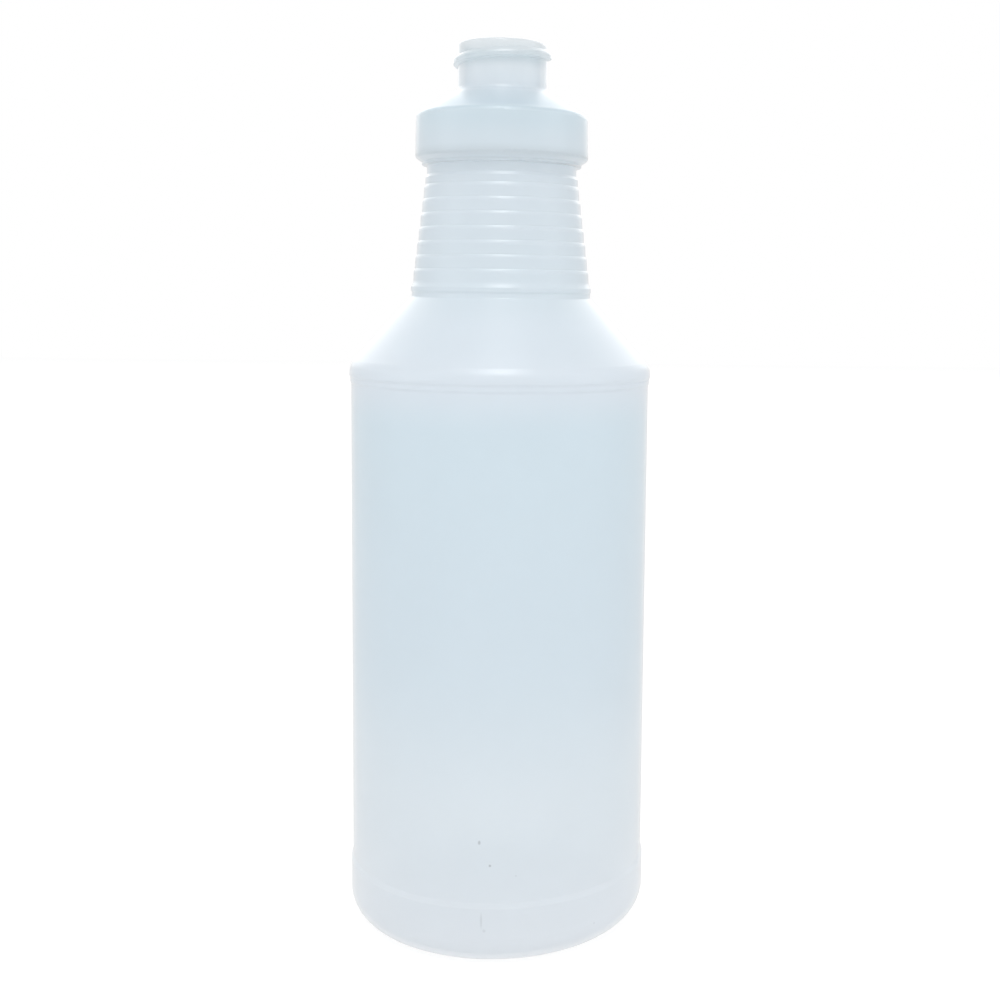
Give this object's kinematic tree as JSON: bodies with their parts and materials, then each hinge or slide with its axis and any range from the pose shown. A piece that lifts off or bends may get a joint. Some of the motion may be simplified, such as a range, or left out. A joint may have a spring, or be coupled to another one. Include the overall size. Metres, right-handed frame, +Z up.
{
  "type": "plastic bottle",
  "caption": "Blow-moulded translucent round bottle with a recessed label panel, ribbed tapered grip, wide collar and open threaded neck.",
  "frame": {"origin": "centre of the flat ring that the bottle stands on, at the lowest point of the base", "axes": "+Z up along the bottle's axis to the mouth; -Y is the side that the picture shows, +X is its right"},
  "size_m": [0.0862, 0.0862, 0.252],
  "materials": {
    "bottle": "frosted translucent natural polyethylene with a soft sheen"
  },
  "bodies": {
    "root": {"bottle": "bottle"}
  },
  "joints": []
}
